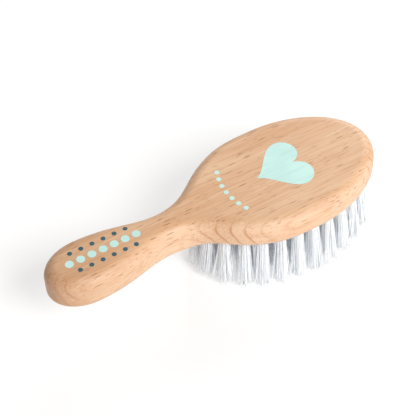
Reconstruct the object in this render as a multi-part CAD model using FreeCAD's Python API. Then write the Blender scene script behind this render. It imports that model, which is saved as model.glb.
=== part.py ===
"""Wooden bristle brush: one beech body with an oval head and a rounded handle, and tufts of nylon
filament that are folded over flat wire anchors and driven into blind holes in the underside of the head.

Millimetres. +X runs from the handle to the tip of the head, and +Z up. The brush stands on its bristle
tips. The origin is on the surface that it stands on, under the middle of its overall length and width,
which take in the bristle tips that stand out past the tip of the head.
"""

import FreeCAD, Part
import math
import os

Vector = FreeCAD.Vector
UP = Vector(0, 0, 1)

# Overall sizes of the wooden body
body_length = 130.0
head_width = 47.0
handle_width = 21.0
neck_width = 12.0
head_thickness = 12.3
handle_thickness = 14.5

# Where the outline is widest and narrowest, along X
handle_end_to_widest = 14.5
handle_end_to_neck = 45.0
head_widest_to_tip = 36.0

# The flank between those places: share of the way along X, share of the change in half width
handle_flank = ((0.50, 0.40),)
shoulder_flank = ((0.19, 0.13), (0.40, 0.54), (0.61, 0.86))

# The underside steps down from the head to the thicker handle, in front of the neck
neck_to_step = 2.0
step_length = 16.0

# Rounding of the long edges, limited by a share of the thinnest wall that they round
top_edge_radius = 4.5
bottom_edge_radius = 4.5
largest_radius_share = 0.4

# Bristle field: rings of tufts inside the outline of the head, and one row along its middle
bristle_free_length = 22.5
tufts_per_ring = (25, 17, 11)
tufts_in_middle_row = 4
edge_to_first_ring = 4.8
field_widest_to_neck_side = 34.0
fan_out_across = 5.5
fan_out_to_tip = 8.0
fan_out_to_neck = 3.0

# Each hole and the tuft in it
hole_diameter = 4.2
hole_depth = 8.0
hole_clearance = 0.02
tuft_tip_diameter = 5.4
tuft_straight_beyond_hole = 0.6

# The flat wire anchor that holds each tuft by its fold, across the grain of the wood
anchor_thickness = 0.5
anchor_height = 1.8
anchor_bite = 0.5
anchor_above_hole_floor = 1.0

# Places worked out from the sizes above
head_underside_z = bristle_free_length
top_z = head_underside_z + head_thickness
handle_underside_z = top_z - handle_thickness
tip_fan_out = bristle_free_length * math.tan(math.radians(fan_out_to_tip))
bristle_overhang = max(0.0, tip_fan_out + tuft_tip_diameter / 2 - edge_to_first_ring)
handle_end_x = -(body_length + bristle_overhang) / 2
handle_widest_x = handle_end_x + handle_end_to_widest
neck_x = handle_end_x + handle_end_to_neck
tip_x = handle_end_x + body_length
head_widest_x = tip_x - head_widest_to_tip
cut_margin = 5.0


def quarter_ellipse(start, corner, end):
    """A quarter of an ellipse inside the corner of its box."""
    curve = Part.BezierCurve()
    curve.setPoles([start, corner, end])
    curve.setWeight(2, math.sqrt(0.5))
    return curve.toShape()


def flank_points():
    """Points of one flank, from the widest place of the handle, through the neck, to that of the head."""
    places = (
        (handle_widest_x, handle_width / 2, neck_x, neck_width / 2, handle_flank),
        (neck_x, neck_width / 2, head_widest_x, head_width / 2, shoulder_flank),
    )
    points = [Vector(handle_widest_x, handle_width / 2, 0)]
    for x_start, y_start, x_end, y_end, shares in places:
        for along, change in shares:
            x = x_start + along * (x_end - x_start)
            y = y_start + change * (y_end - y_start)
            points.append(Vector(x, y, 0))
        points.append(Vector(x_end, y_end, 0))
    return points


def outline():
    """The closed outline seen from above."""
    handle_side = Vector(handle_widest_x, handle_width / 2, 0)
    head_side = Vector(head_widest_x, head_width / 2, 0)
    handle_corner = Vector(handle_end_x, handle_width / 2, 0)
    tip_corner = Vector(tip_x, head_width / 2, 0)
    flank = Part.BSplineCurve()
    along_x = Vector(1, 0, 0)
    flank.interpolate(Points=flank_points(), InitialTangent=along_x, FinalTangent=along_x)
    half = [
        quarter_ellipse(Vector(handle_end_x, 0, 0), handle_corner, handle_side),
        flank.toShape(),
        quarter_ellipse(head_side, tip_corner, Vector(tip_x, 0, 0)),
    ]
    other_half = [edge.mirror(Vector(0, 0, 0), Vector(0, 1, 0)) for edge in half]
    return Part.Wire(Part.__sortEdges__(half + other_half))


def side_profile():
    """The side view: a flat top, and an underside with a smooth step between head and handle."""
    back = handle_end_x - cut_margin
    front = tip_x + cut_margin
    step_start = neck_x + neck_to_step
    step_end = step_start + step_length
    middle_z = (handle_underside_z + head_underside_z) / 2
    step = Part.BSplineCurve()
    step_points = [
        Vector(step_start, 0, handle_underside_z),
        Vector((step_start + step_end) / 2, 0, middle_z),
        Vector(step_end, 0, head_underside_z),
    ]
    along_x = Vector(1, 0, 0)
    step.interpolate(Points=step_points, InitialTangent=along_x, FinalTangent=along_x)
    corners = [
        Vector(step_end, 0, head_underside_z),
        Vector(front, 0, head_underside_z),
        Vector(front, 0, top_z),
        Vector(back, 0, top_z),
        Vector(back, 0, handle_underside_z),
        Vector(step_start, 0, handle_underside_z),
    ]
    edges = [step.toShape()]
    for start, end in zip(corners, corners[1:]):
        edges.append(Part.makeLine(start, end))
    return Part.Wire(Part.__sortEdges__(edges))


def rounded(solid, radius, is_wanted):
    """Rounds the edges that the test picks."""
    limit = largest_radius_share * min(head_thickness, handle_thickness, neck_width)
    edges = [edge for edge in solid.Edges if is_wanted(edge)]
    return solid.makeFillet(min(radius, limit), edges)


def is_top_edge(edge):
    return edge.BoundBox.ZMin > top_z - 0.001


def is_bottom_edge(edge):
    """Edges round the underside, but not the lines across it where the step starts and ends."""
    underside = max(head_underside_z, handle_underside_z) + 0.001
    return edge.BoundBox.ZMax < underside and abs(edge.CenterOfMass.y) > 0.001


def body_blank():
    """The body before its holes are drilled."""
    width = max(head_width, handle_width) + 2 * cut_margin
    plan = Part.Face(outline()).extrude(UP * (top_z + cut_margin))
    side = Part.Face(side_profile())
    side.translate(Vector(0, -width / 2, 0))
    blank = plan.common(side.extrude(Vector(0, width, 0))).Solids[0]
    blank = rounded(blank, top_edge_radius, is_top_edge)
    return rounded(blank, bottom_edge_radius, is_bottom_edge)


def field_axes(across):
    """Half lengths of a ring, neck side and tip side, whose half width is the given share of the outer's."""
    inset = (1 - across) * (head_width / 2 - edge_to_first_ring)
    tip_side = head_widest_to_tip - edge_to_first_ring - inset
    return field_widest_to_neck_side - inset, tip_side


def ring_point(across, angle):
    """A point of a ring, which is half an ellipse on the neck side and half another on the tip side."""
    neck_side, tip_side = field_axes(across)
    half_length = tip_side if math.cos(angle) > 0 else neck_side
    half_width = across * (head_width / 2 - edge_to_first_ring)
    return half_length * math.cos(angle), half_width * math.sin(angle)


def evenly_spaced_ring(across, count):
    """Points at equal distances round a ring, from its tip end."""
    steps = 720
    points = [ring_point(across, 2 * math.pi * step / steps) for step in range(steps + 1)]
    distances = [0.0]
    for start, end in zip(points, points[1:]):
        distances.append(distances[-1] + math.dist(start, end))
    places = []
    for index in range(count):
        wanted = index * distances[-1] / count
        step = next(number for number, distance in enumerate(distances) if distance >= wanted)
        places.append(points[step])
    return places


def tuft_places():
    """Name, and offset from the widest place of the head, of the mouth of each hole."""
    rings = len(tufts_per_ring)
    places = []
    for ring, count in enumerate(tufts_per_ring):
        across = 1 - ring / rings
        for index, (x, y) in enumerate(evenly_spaced_ring(across, count)):
            places.append((f"tuft_ring{ring + 1}_{index + 1:02d}", x, y))
    neck_side, tip_side = field_axes(0)
    for index in range(tufts_in_middle_row):
        x = -neck_side + (index + 0.5) * (neck_side + tip_side) / tufts_in_middle_row
        places.append((f"tuft_row_{index + 1:02d}", x, 0.0))
    return places


def tuft_placement(x, y):
    """Puts the local origin at the mouth of the hole, with local +Z out of it along the fanned tuft."""
    neck_side, tip_side = field_axes(1)
    half_width = head_width / 2 - edge_to_first_ring
    if x > 0:
        lean_x = math.tan(math.radians(fan_out_to_tip)) * x / tip_side
    else:
        lean_x = math.tan(math.radians(fan_out_to_neck)) * x / neck_side
    lean_y = math.tan(math.radians(fan_out_across)) * y / half_width
    turn = FreeCAD.Rotation(Vector(1, 0, 0), Vector(0, 1, 0), Vector(lean_x, lean_y, -1), "ZYX")
    return FreeCAD.Placement(Vector(head_widest_x + x, y, head_underside_z), turn)


def revolved(profile):
    """A solid turned about local Z from a list of (radius, z)."""
    face = Part.Face(Part.makePolygon([Vector(radius, 0, z) for radius, z in profile + profile[:1]]))
    return face.revolve(Vector(0, 0, 0), UP, 360)


def hole_cutter():
    """The drilled hole, in the frame of its tuft, and on past the underside of the head."""
    return Part.makeCylinder(hole_diameter / 2, hole_depth + cut_margin, Vector(0, 0, -hole_depth))


def anchor():
    """A flat piece of wire across the hole. Its two ends bite into the wood."""
    width = hole_diameter + 2 * anchor_bite
    corner = Vector(-anchor_thickness / 2, -width / 2, -hole_depth + anchor_above_hole_floor)
    return Part.makeBox(anchor_thickness, width, anchor_height, corner)


def tuft():
    """The outer shape of one bundle of filaments: straight in its hole, then flaring to its tips."""
    root = hole_diameter / 2 - hole_clearance
    start = tuft_straight_beyond_hole
    end = bristle_free_length + cut_margin
    flare = (tuft_tip_diameter / 2 - root) / (bristle_free_length - start)
    tip = root + flare * (end - start)
    profile = [(0, -hole_depth), (root, -hole_depth), (root, start), (tip, end), (0, end)]
    return revolved(profile).cut(anchor())


def trimmed(bundle):
    """Trims the tips level with the surface that the brush stands on."""
    size = 2 * (body_length + cut_margin)
    above = Part.makeBox(size, size, top_z, Vector(-size / 2, -size / 2, 0))
    return bundle.common(above).Solids[0]


def placed(shape, placement):
    return shape.transformed(placement.toMatrix())


def save(shape, name):
    shape.exportStep(f"parts/{name}.step")


def build():
    os.makedirs("parts", exist_ok=True)
    anchors = []
    holes = []
    for name, x, y in tuft_places():
        placement = tuft_placement(x, y)
        save(trimmed(placed(tuft(), placement)), name)
        anchors.append(placed(anchor(), placement))
        holes.append(placed(hole_cutter(), placement))
    save(Part.Compound(anchors), "tuft_anchors")
    save(body_blank().cut(holes + anchors).Solids[0], "wooden_body")


build()
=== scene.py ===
import math
import random

import bpy
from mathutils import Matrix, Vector
from mathutils.bvhtree import BVHTree


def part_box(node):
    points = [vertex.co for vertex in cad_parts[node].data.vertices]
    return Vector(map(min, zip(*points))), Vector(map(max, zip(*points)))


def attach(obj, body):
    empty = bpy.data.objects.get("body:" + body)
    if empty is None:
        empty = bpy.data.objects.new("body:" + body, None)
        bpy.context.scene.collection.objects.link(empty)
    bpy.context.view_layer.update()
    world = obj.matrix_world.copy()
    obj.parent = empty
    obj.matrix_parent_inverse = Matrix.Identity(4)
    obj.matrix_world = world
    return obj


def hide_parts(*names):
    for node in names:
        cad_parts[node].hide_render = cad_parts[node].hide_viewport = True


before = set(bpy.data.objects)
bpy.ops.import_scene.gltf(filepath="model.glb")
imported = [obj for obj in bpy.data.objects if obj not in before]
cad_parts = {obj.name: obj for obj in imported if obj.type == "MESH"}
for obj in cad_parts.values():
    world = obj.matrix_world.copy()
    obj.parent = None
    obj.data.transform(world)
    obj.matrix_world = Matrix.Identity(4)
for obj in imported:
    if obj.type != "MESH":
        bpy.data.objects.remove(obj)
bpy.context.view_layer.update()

# A wooden hairbrush: CAD body in beech, filaments in place of the CAD tufts, and a thin print on the wood.
# Everything is in metres, in the frame of the CAD model: +X to the tip of the head, +Z up.

MM = 0.001

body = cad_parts["wooden_body"]
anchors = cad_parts["tuft_anchors"]
tuft_nodes = sorted(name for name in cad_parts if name.startswith("tuft_r"))
body_low, body_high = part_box("wooden_body")
handle_end_x = body_low.x
tip_x = body_high.x
top_z = body_high.z

# Sizes that the CAD model also uses
head_widest_x = tip_x - 36.0 * MM
head_underside_z = 22.5 * MM
hole_radius = 2.1 * MM


# ---------------------------------------------------------------- materials

def linear(red, green, blue):
    """Turns a display colour, 0 to 255, into the linear values that shaders take."""
    values = []
    for value in (red, green, blue):
        share = value / 255
        values.append(share / 12.92 if share <= 0.04045 else ((share + 0.055) / 1.055) ** 2.4)
    return (*values, 1.0)


class Nodes:
    """Short ways to build a material's node tree."""

    def __init__(self, name):
        self.material = bpy.data.materials.new(name)
        self.material.use_nodes = True
        self.tree = self.material.node_tree
        self.shader = self.tree.nodes["Principled BSDF"]
        self.place = self.tree.nodes.new("ShaderNodeTexCoord")

    def link(self, value, socket):
        if isinstance(value, bpy.types.NodeSocket):
            self.tree.links.new(value, socket)
        else:
            socket.default_value = value

    def stretched(self, scale, offset=(0, 0, 0)):
        """Object coordinates times a scale for each axis, in repeats a metre."""
        node = self.tree.nodes.new("ShaderNodeMapping")
        node.inputs["Scale"].default_value = scale
        node.inputs["Location"].default_value = offset
        self.link(self.place.outputs["Object"], node.inputs["Vector"])
        return node.outputs["Vector"]

    def noise(self, vector, scale=1.0, detail=2.0, roughness=0.5, distortion=0.0):
        node = self.tree.nodes.new("ShaderNodeTexNoise")
        node.inputs["Scale"].default_value = scale
        node.inputs["Detail"].default_value = detail
        node.inputs["Roughness"].default_value = roughness
        node.inputs["Distortion"].default_value = distortion
        self.link(vector, node.inputs["Vector"])
        return node.outputs["Fac"]

    def calculate(self, operation, first, second=0.0, third=0.0):
        node = self.tree.nodes.new("ShaderNodeMath")
        node.operation = operation
        for value, socket in zip((first, second, third), node.inputs):
            self.link(value, socket)
        return node.outputs["Value"]

    def range(self, value, low, high, new_low=0.0, new_high=1.0):
        node = self.tree.nodes.new("ShaderNodeMapRange")
        node.interpolation_type = "SMOOTHSTEP"
        self.link(value, node.inputs["Value"])
        node.inputs["From Min"].default_value = low
        node.inputs["From Max"].default_value = high
        node.inputs["To Min"].default_value = new_low
        node.inputs["To Max"].default_value = new_high
        return node.outputs["Result"]

    def mix(self, share, first, second, blend="MIX"):
        node = self.tree.nodes.new("ShaderNodeMix")
        node.data_type = "RGBA"
        node.blend_type = blend
        self.link(share, node.inputs["Factor"])
        self.link(first, node.inputs["A"])
        self.link(second, node.inputs["B"])
        return node.outputs["Result"]

    def bump(self, height, distance, strength=1.0):
        node = self.tree.nodes.new("ShaderNodeBump")
        node.inputs["Distance"].default_value = distance
        node.inputs["Strength"].default_value = strength
        self.link(height, node.inputs["Height"])
        return node.outputs["Normal"]

    def split(self, vector):
        node = self.tree.nodes.new("ShaderNodeSeparateXYZ")
        self.link(vector, node.inputs["Vector"])
        return node.outputs

    def shade(self, colour, roughness, normal=None):
        self.link(colour, self.shader.inputs["Base Color"])
        self.link(roughness, self.shader.inputs["Roughness"])
        if normal is not None:
            self.link(normal, self.shader.inputs["Normal"])
        return self.material


# How far one repeat of a pattern reaches along and across the grain, as repeats a metre
broad_grain = (14, 110, 110)
fine_grain = (70, 1700, 1700)
pale_grain = (60, 1300, 1300)
pore_grain = (1500, 2300, 2300)
dash_patches = (45, 90, 90)
ring_wobble = (18, 60, 60)

ring_axis_y = 55 * MM
ring_axis_slope = 0.03
ring_width = 2.5 * MM
ring_wobble_size = 2.6 * MM
latewood_starts = 0.70
latewood_peaks = 0.94

long_dash = {"offset": (0.3, 0.6, 0.1), "width": 0.85 * MM, "length": 8.0 * MM, "reach": 0.27}
short_dash = {"offset": (5.2, 1.7, 3.3), "width": 0.60 * MM, "length": 5.0 * MM, "reach": 0.25}
short_dash_strength = 0.75
dash_strength = 0.80

pale_wood = linear(215, 177, 141)
warm_wood = linear(204, 157, 117)
latewood = linear(181, 129, 90)
light_line = linear(222, 193, 166)
fleck_brown = linear(140, 88, 54)
# Brown of end grain, also used to paint shade on the handle
end_grain_and_shade_brown = linear(177, 129, 90)
# Pale colour painted on the sides as a sheen
painted_side_sheen = linear(220, 192, 169)


def growth_rings(nodes):
    """Dark latewood lines, 0 to 1: rings about an axis beside the brush, nearly along its length."""
    x, y, z = nodes.split(nodes.place.outputs["Object"])[0:3]
    y_from_axis = nodes.calculate(
        "MULTIPLY_ADD", x, ring_axis_slope, nodes.calculate("SUBTRACT", y, ring_axis_y)
    )
    square = nodes.calculate(
        "ADD", nodes.calculate("POWER", y_from_axis, 2), nodes.calculate("POWER", z, 2)
    )
    wobble = nodes.noise(nodes.stretched(ring_wobble), detail=1.5)
    radius = nodes.calculate(
        "MULTIPLY_ADD", wobble, ring_wobble_size, nodes.calculate("SQRT", square)
    )
    share = nodes.calculate("FRACT", nodes.calculate("DIVIDE", radius, ring_width))
    rise = nodes.range(share, latewood_starts, latewood_peaks)
    fall = nodes.range(share, latewood_peaks, 1.0, 1.0, 0.0)
    return nodes.calculate("MULTIPLY", rise, fall)


def ray_flecks(nodes, offset, width, length, reach):
    """Short dark dashes along the grain, 0 to 1: stretched cells, of which some hold a dash."""
    cells = nodes.tree.nodes.new("ShaderNodeTexVoronoi")
    cells.inputs["Scale"].default_value = 1.0
    cells.inputs["Randomness"].default_value = 1.0
    stretched = nodes.stretched((1 / length, 1 / width, 1 / width), offset)
    nodes.link(stretched, cells.inputs["Vector"])
    chance = nodes.split(cells.outputs["Color"])[0]
    core = nodes.range(cells.outputs["Distance"], reach * 0.5, reach, 1.0, 0.0)
    return nodes.calculate("MULTIPLY", core, nodes.range(chance, 0.35, 0.65))


def wood_tone(nodes, upright, endward):
    """Broad soft bands; paler on the sides as a painted sheen, browner on end grain, which also paints
    shade on the handle's sides, and browner toward the handle's end as painted shade.
    """
    broad = nodes.noise(nodes.stretched(broad_grain), detail=3.0, roughness=0.55)
    colour = nodes.mix(nodes.range(broad, 0.32, 0.68), pale_wood, warm_wood)
    # Painted sheen: faces whose normal is near level are mixed toward a paler colour
    colour = nodes.mix(nodes.range(upright, 0.55, 0.95, 0.32, 0.0), colour, painted_side_sheen)
    # End grain is browner; the range also reaches the handle's sides, where the browning is painted shade
    colour = nodes.mix(nodes.range(endward, 0.40, 1.0, 0.0, 0.48), colour, end_grain_and_shade_brown)
    x = nodes.split(nodes.place.outputs["Object"])[0]
    # Painted shade: browner toward the handle's end, which faces away from the key light
    handle_end_shade = nodes.range(x, handle_end_x + 4 * MM, handle_end_x + 46 * MM, 0.46, 0.0)
    return nodes.mix(handle_end_shade, colour, end_grain_and_shade_brown)


def ring_strength(nodes, upright, endward):
    """Rings are faint on the top and sides, fainter away from the shoulder, and full on end grain."""
    x = nodes.split(nodes.place.outputs["Object"])[0]
    from_shoulder = nodes.calculate("ABSOLUTE", x)
    sides = nodes.calculate(
        "MULTIPLY",
        nodes.range(upright, 0.55, 0.85, 0.34, 0.28),
        nodes.range(from_shoulder, 16 * MM, 34 * MM, 1.0, 0.45),
    )
    return nodes.calculate("MAXIMUM", sides, nodes.range(endward, 0.30, 0.55, 0.0, 1.0))


def wood_dashes(nodes, endward):
    """Ray flecks of two sizes, in patches, and few on end grain."""
    shorter = nodes.calculate("MULTIPLY", ray_flecks(nodes, **short_dash), short_dash_strength)
    dashes = nodes.calculate("MAXIMUM", ray_flecks(nodes, **long_dash), shorter)
    patches = nodes.noise(nodes.stretched(dash_patches, (2, 9, 4)), detail=1.0)
    dashes = nodes.calculate("MULTIPLY", dashes, nodes.range(patches, 0.36, 0.56, 0.7, 1.0))
    return nodes.calculate("MULTIPLY", dashes, nodes.range(endward, 0.25, 0.6, 1.0, 0.3))


def make_beech():
    nodes = Nodes("beech")
    normal = nodes.split(nodes.place.outputs["Normal"])
    endward = nodes.calculate("ABSOLUTE", normal[0])
    upright = nodes.calculate("ABSOLUTE", normal[2])

    colour = wood_tone(nodes, upright, endward)
    rings = nodes.calculate("MULTIPLY", growth_rings(nodes), ring_strength(nodes, upright, endward))
    colour = nodes.mix(rings, colour, latewood)

    fine = nodes.noise(nodes.stretched(fine_grain), detail=4.0, roughness=0.6)
    colour = nodes.mix(nodes.range(fine, 0.48, 0.72, 0.0, 0.55), colour, latewood)
    pale_lines = nodes.noise(nodes.stretched(pale_grain, (3, 7, 1)), detail=3.0)
    colour = nodes.mix(nodes.range(pale_lines, 0.54, 0.72, 0.0, 0.35), colour, light_line)

    dashes = wood_dashes(nodes, endward)
    colour = nodes.mix(nodes.calculate("MULTIPLY", dashes, dash_strength), colour, fleck_brown)
    pores = nodes.noise(nodes.stretched(pore_grain), detail=2.0)
    colour = nodes.mix(nodes.range(pores, 0.56, 0.72, 0.0, 0.22), colour, latewood)

    height = nodes.calculate("SUBTRACT", nodes.calculate("MULTIPLY", fine, 0.25), dashes)
    roughness = nodes.range(fine, 0.3, 0.8, 0.42, 0.58)
    nodes.shader.inputs["Coat Weight"].default_value = 0.10
    nodes.shader.inputs["Coat Roughness"].default_value = 0.30
    nodes.shader.inputs["Specular IOR Level"].default_value = 0.38
    return nodes.shade(colour, roughness, nodes.bump(height, 0.02 * MM, 0.35))


def make_nylon():
    nodes = Nodes("nylon_filament")
    strands = nodes.noise(nodes.stretched((2600, 2600, 70)), detail=2.0)
    colour = nodes.mix(nodes.range(strands, 0.35, 0.65), linear(246, 250, 255), linear(252, 254, 255))
    z = nodes.split(nodes.place.outputs["Object"])[2]
    tips = nodes.range(z, 0.0, 1.6 * MM, 0.30, 0.0)
    colour = nodes.mix(tips, colour, linear(236, 240, 243))
    normal = nodes.bump(strands, 0.01 * MM, 0.3)
    roughness = nodes.range(strands, 0.3, 0.7, 0.24, 0.38)
    nodes.shader.inputs["Subsurface Weight"].default_value = 1.0
    nodes.shader.inputs["Subsurface Radius"].default_value = (0.9, 0.95, 1.0)
    nodes.shader.inputs["Subsurface Scale"].default_value = 0.6 * MM
    nodes.shader.inputs["IOR"].default_value = 1.53
    return nodes.shade(colour, roughness, normal)


def make_wire():
    nodes = Nodes("anchor_wire")
    drawn = nodes.noise(nodes.stretched((900, 120, 900)), detail=3.0)
    colour = nodes.mix(drawn, linear(150, 150, 153), linear(205, 205, 208))
    nodes.shader.inputs["Metallic"].default_value = 1.0
    return nodes.shade(colour, nodes.range(drawn, 0.3, 0.7, 0.28, 0.45), nodes.bump(drawn, 0.01 * MM, 0.4))


def make_print(name, light, dark):
    """Thin opaque ink that lets the grain of the wood show through a little."""
    nodes = Nodes(name)
    grain = nodes.noise(nodes.stretched((80, 1500, 1500)), detail=4.0, roughness=0.6)
    cloud = nodes.noise(nodes.stretched((150, 300, 300)), detail=2.0)
    in_grain = nodes.range(grain, 0.45, 0.75, 0.0, 0.6)
    in_cloud = nodes.range(cloud, 0.35, 0.65, 0.0, 0.4)
    share = nodes.calculate("ADD", in_grain, in_cloud)
    colour = nodes.mix(share, light, dark)
    return nodes.shade(colour, nodes.range(grain, 0.3, 0.8, 0.42, 0.58), nodes.bump(grain, 0.015 * MM, 0.3))


def make_floor():
    """A white table that gives off some light of its own."""
    nodes = Nodes("studio_floor")
    cloud = nodes.noise(nodes.stretched((3, 3, 3)), detail=2.0)
    colour = nodes.mix(cloud, linear(188, 188, 187), linear(192, 192, 191))
    nodes.shader.inputs["Emission Color"].default_value = (1.0, 1.0, 1.0, 1.0)
    nodes.shader.inputs["Emission Strength"].default_value = floor_glow
    return nodes.shade(colour, 0.85)


floor_glow = 0.47

beech = make_beech()
nylon = make_nylon()
wire = make_wire()
mint = make_print("mint_ink", linear(188, 224, 216), linear(172, 210, 201))
teal = make_print("teal_ink", linear(42, 86, 98), linear(30, 66, 80))


def give_material(thing, material):
    thing.data.materials.clear()
    thing.data.materials.append(material)


body.material_slots[0].material = beech
anchors.material_slots[0].material = wire


def add_piece(name, vertices, faces, material, smooth=True):
    mesh = bpy.data.meshes.new(name)
    mesh.from_pydata(vertices, [], faces)
    mesh.validate()
    mesh.polygons.foreach_set("use_smooth", [smooth] * len(mesh.polygons))
    mesh.update()
    piece = bpy.data.objects.new(name, mesh)
    bpy.context.scene.collection.objects.link(piece)
    give_material(piece, material)
    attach(piece, "root")
    return piece


# ---------------------------------------------------------------- bristles

filament_radius = 0.125 * MM
filament_thickness_range = (0.85, 1.1)
filaments_per_tuft = 90
clumps_per_tuft = 5
clump_reach = 0.7
clump_lean = 0.60 * MM
filament_sides = 5
filament_steps = 8
root_depth = 2.0 * MM
root_packing = 0.97
tip_spread = 1.60
place_disorder = 0.05
bend_size = 0.22 * MM
length_variation = 0.8 * MM
bent_from = 0.95
bent_factor = 4.5
short_below = 0.06
short_range_mm = (0.5, 2.5)
lowest_tip_z = 0.02 * MM
neck_side_cut = 1.8 * MM
dice = random.Random(11)


def middle_of(points):
    """Middle of the points' box in plan, at their mean height."""
    xs = [point.x for point in points]
    ys = [point.y for point in points]
    mean_z = sum(point.z for point in points) / len(points)
    return Vector(((min(xs) + max(xs)) / 2, (min(ys) + max(ys)) / 2, mean_z))


def tuft_axis(name):
    """Middle of the tuft at the mouth of its hole and at its tips, from the ends of its CAD solid."""
    tip_band = 0.05 * MM
    inner_band = 0.7 * MM
    points = [vertex.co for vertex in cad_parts[name].data.vertices]
    low = min(point.z for point in points)
    high = max(point.z for point in points)
    tip = middle_of([point for point in points if point.z < low + tip_band])
    inner = middle_of([point for point in points if point.z > high - inner_band])
    share = (inner.z - head_underside_z) / (inner.z - tip.z)
    return inner.lerp(tip, share), tip


def disc_point():
    """A random place in a disc of radius 1."""
    angle = dice.uniform(0, 2 * math.pi)
    distance = math.sqrt(dice.random())
    return Vector((distance * math.cos(angle), distance * math.sin(angle), 0))


def packed_disc(count):
    """Places spread evenly over a disc of radius 1, with a little disorder."""
    golden = math.pi * (3 - math.sqrt(5))
    turn = dice.uniform(0, 2 * math.pi)
    places = []
    for index in range(count):
        distance = math.sqrt((index + 0.5) / count)
        angle = turn + index * golden
        place = Vector((distance * math.cos(angle), distance * math.sin(angle), 0))
        places.append(place + place_disorder * disc_point())
    return places


def filament_path(mouth, tip, place, lean, short):
    """Points of one filament, from inside its hole to its tip."""
    axis = tip - mouth
    free = axis.length
    direction = axis / free
    root = (hole_radius - filament_radius) * root_packing
    bend = bend_size * Vector((dice.gauss(0, 1), dice.gauss(0, 1), 0))
    stray = dice.random()
    if stray > bent_from:
        bend *= bent_factor
    end = free - short - abs(dice.gauss(0, length_variation))
    if stray < short_below:
        end -= dice.uniform(*short_range_mm) * MM
    points = []
    for step in range(filament_steps + 1):
        along = -root_depth + (end + root_depth) * step / filament_steps
        share = max(0.0, along / free)
        spread = 1 + (tip_spread - 1) * share
        offset = place * root * spread + lean * share + bend * share * share
        points.append(mouth + direction * along + offset)
    points[-1].z = max(points[-1].z, lowest_tip_z)
    return points


def add_tube(points, radius, vertices, faces):
    """Adds a thin closed tube along the points, with flat ends."""
    first = len(vertices)
    sides = filament_sides
    for point in points:
        for side in range(sides):
            angle = 2 * math.pi * side / sides
            vertices.append(point + radius * Vector((math.cos(angle), math.sin(angle), 0)))
    for ring in range(len(points) - 1):
        low = first + ring * sides
        for side in range(sides):
            after = (side + 1) % sides
            faces.append((low + side, low + sides + side, low + sides + after, low + after))
    last = first + (len(points) - 1) * sides
    faces.append([first + side for side in range(sides)])
    faces.append([last + side for side in reversed(range(sides))])


def neck_side_shortening(x):
    """The tufts nearest the neck are trimmed a little shorter."""
    start = head_widest_x - 12 * MM
    end = head_widest_x - 34 * MM
    share = min(1.0, max(0.0, (start - x) / (start - end)))
    return neck_side_cut * share


def make_tuft(name):
    mouth, tip = tuft_axis(name)
    clumps = range(clumps_per_tuft)
    leans = [clump_lean * Vector((dice.gauss(0, 1), dice.gauss(0, 1), 0)) for clump in clumps]
    middles = [clump_reach * disc_point() for clump in clumps]
    short = neck_side_shortening(mouth.x)
    vertices = []
    faces = []
    for place in packed_disc(filaments_per_tuft):
        nearest = min(clumps, key=lambda clump: (place - middles[clump]).length)
        path = filament_path(mouth, tip, place, leans[nearest], short)
        add_tube(path, filament_radius * dice.uniform(*filament_thickness_range), vertices, faces)
    piece = add_piece("filaments_" + name, vertices, faces, nylon)
    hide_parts(name)


for node in tuft_nodes:
    make_tuft(node)


# ---------------------------------------------------------------- print on the wood

# The print is plain geometry: a heart and a dotted arc on the head, and three rows of dots on the handle.
# Each shape is a thin closed skin that follows the wood.

ink_thickness = 0.04 * MM
ink_depth_in_wood = 0.05 * MM

heart_centre = Vector((head_widest_x, 0))
heart_half_width = 11.0 * MM

arc_radius = 24.0 * MM
arc_half_angle = 24.0
arc_dots = 7
arc_dot_radius = 0.9 * MM

dots_start_x = handle_end_x + 9.0 * MM
dot_step = 4.2 * MM
dots_in_row = 7
row_gap = 4.0 * MM
middle_dot_radius = 1.5 * MM
side_dot_radius = 0.85 * MM

wood_surface = BVHTree.FromPolygons(
    [vertex.co for vertex in body.data.vertices],
    [polygon.vertices for polygon in body.data.polygons],
)


def on_wood(place):
    """Height of the wood's top side at a place in plan."""
    hit = wood_surface.ray_cast(Vector((place.x, place.y, top_z + 10 * MM)), Vector((0, 0, -1)))
    return hit[0].z


class Skin:
    """Collects thin printed shapes that become one piece."""

    def __init__(self):
        self.vertices = []
        self.faces = []

    def add(self, places, faces, border):
        """Turns a flat mesh in plan into a closed skin on the wood. The border runs counter-clockwise."""
        first = len(self.vertices)
        count = len(places)
        heights = [on_wood(place) for place in places]
        self.vertices += [Vector((p.x, p.y, z + ink_thickness)) for p, z in zip(places, heights)]
        self.vertices += [Vector((p.x, p.y, z - ink_depth_in_wood)) for p, z in zip(places, heights)]
        for face in faces:
            self.faces.append([first + index for index in face])
            self.faces.append([first + count + index for index in reversed(face)])
        for index, here in enumerate(border):
            after = border[(index + 1) % len(border)]
            self.faces.append([first + here, first + count + here, first + count + after, first + after])

    def blob(self, centre, edge, rings, sides):
        """A shape whose edge is at edge(angle) from its centre."""
        places = [centre.copy()]
        for ring in range(1, rings + 1):
            for side in range(sides):
                angle = 2 * math.pi * side / sides
                places.append(centre + edge(angle) * ring / rings)
        faces = [(0, 1 + side, 1 + (side + 1) % sides) for side in range(sides)]
        for ring in range(rings - 1):
            inner = 1 + ring * sides
            for side in range(sides):
                after = (side + 1) % sides
                faces.append((inner + side, inner + sides + side, inner + sides + after, inner + after))
        last = 1 + (rings - 1) * sides
        self.add(places, faces, list(range(last, last + sides)))


def disc_edge(radius):
    return lambda angle: radius * Vector((math.cos(angle), math.sin(angle)))


def heart_edge(half_width):
    """The usual heart curve, with its notch toward the tip of the head and its point toward the handle."""
    def edge(angle):
        up = 13 * math.cos(angle) - 5 * math.cos(2 * angle) - 2 * math.cos(3 * angle) - math.cos(4 * angle)
        across = 16 * math.sin(angle) ** 3
        return half_width / 16 * Vector((up, across))
    return edge


def print_heart():
    skin = Skin()
    skin.blob(heart_centre, heart_edge(heart_half_width), rings=12, sides=120)
    add_piece("printed_heart", skin.vertices, skin.faces, mint, smooth=False)


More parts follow.
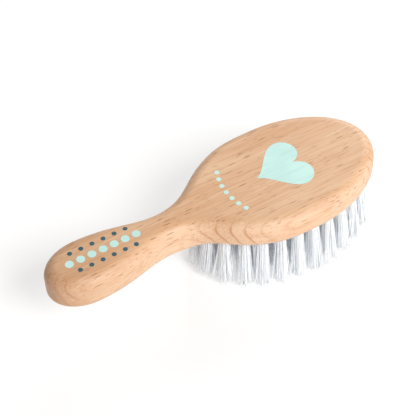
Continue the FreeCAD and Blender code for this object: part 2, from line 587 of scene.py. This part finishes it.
def print_arc():
    """A curved row of dots round the handle side of the heart."""
    skin = Skin()
    for index in range(arc_dots):
        angle = math.radians(180 + arc_half_angle * (2 * index / (arc_dots - 1) - 1))
        place = heart_centre + arc_radius * Vector((math.cos(angle), math.sin(angle)))
        skin.blob(place, disc_edge(arc_dot_radius), rings=2, sides=32)
    add_piece("printed_arc", skin.vertices, skin.faces, mint, smooth=False)


def print_handle_dots():
    """A middle row of large mint dots, and a row of small teal dots to each side, half a step on."""
    mint_dots = Skin()
    teal_dots = Skin()
    for index in range(dots_in_row):
        x = dots_start_x + index * dot_step
        mint_dots.blob(Vector((x, 0)), disc_edge(middle_dot_radius), rings=3, sides=40)
        if index < dots_in_row - 1:
            for side in (-1, 1):
                place = Vector((x + dot_step / 2, side * row_gap))
                teal_dots.blob(place, disc_edge(side_dot_radius), rings=2, sides=32)
    add_piece("printed_mint_dots", mint_dots.vertices, mint_dots.faces, mint, smooth=False)
    add_piece("printed_teal_dots", teal_dots.vertices, teal_dots.faces, teal, smooth=False)


print_heart()
print_arc()
print_handle_dots()


# ---------------------------------------------------------------- camera, floor and light

camera_azimuth = math.radians(-31.73)
camera_elevation = math.radians(48.5)
camera_distance = 0.4329
camera_aim = Vector((handle_end_x + 71.5 * MM, 0, top_z - 6.0 * MM))
camera_lens = 106.35
camera_shift = (-0.0528, -0.0144)

floor_half_width = 3.0
world_strength = 0.33

# name, place, size, power in watts, point that it faces
softboxes = (
    ("front_softbox", (0.15, -0.77, 0.78), (0.5, 0.5), 9.8, (0.0, 0.0, 0.02)),
    ("low_softbox", (0.10, -1.07, 0.16), (0.9, 0.3), 3.8, (0.02, 0.0, 0.01)),
    ("back_softbox", (0.76, 0.62, 0.50), (0.9, 0.7), 8.5, (0.0, 0.0, 0.02)),
)


def make_camera():
    """From the handle side, half way between level and straight down."""
    back = Vector((
        math.sin(camera_azimuth) * math.cos(camera_elevation),
        -math.cos(camera_azimuth) * math.cos(camera_elevation),
        math.sin(camera_elevation),
    ))
    data = bpy.data.cameras.new("camera")
    data.lens = camera_lens
    data.sensor_width = 36.0
    data.shift_x, data.shift_y = camera_shift
    data.clip_start = 0.01
    camera = bpy.data.objects.new("camera", data)
    camera.location = camera_aim + back * camera_distance
    camera.rotation_mode = "QUATERNION"
    camera.rotation_quaternion = (-back).to_track_quat("-Z", "Y")
    bpy.context.scene.collection.objects.link(camera)
    bpy.context.scene.camera = camera


def make_floor_plane():
    half = floor_half_width
    mesh = bpy.data.meshes.new("floor")
    corners = [(-half, -half, 0), (half, -half, 0), (half, half, 0), (-half, half, 0)]
    mesh.from_pydata(corners, [], [(0, 1, 2, 3)])
    floor = bpy.data.objects.new("floor", mesh)
    bpy.context.scene.collection.objects.link(floor)
    give_material(floor, make_floor())


def add_softbox(name, place, size, power, target):
    data = bpy.data.lights.new(name, "AREA")
    data.shape = "RECTANGLE"
    data.size = size[0]
    data.size_y = size[1]
    data.energy = power
    light = bpy.data.objects.new(name, data)
    light.location = place
    light.rotation_mode = "QUATERNION"
    light.rotation_quaternion = (Vector(target) - Vector(place)).to_track_quat("-Z", "Y")
    bpy.context.scene.collection.objects.link(light)


def make_light():
    world = bpy.data.worlds.new("studio")
    world.use_nodes = True
    background = world.node_tree.nodes["Background"]
    background.inputs["Color"].default_value = (1.0, 1.0, 1.0, 1.0)
    background.inputs["Strength"].default_value = world_strength
    bpy.context.scene.world = world
    for softbox in softboxes:
        add_softbox(*softbox)
    # White bristles pass light between them many times
    bpy.context.scene.cycles.max_bounces = 24
    bpy.context.scene.cycles.diffuse_bounces = 16
    bpy.context.scene.view_settings.view_transform = "Standard"
    bpy.context.scene.view_settings.look = "None"


make_camera()
make_floor_plane()
make_light()
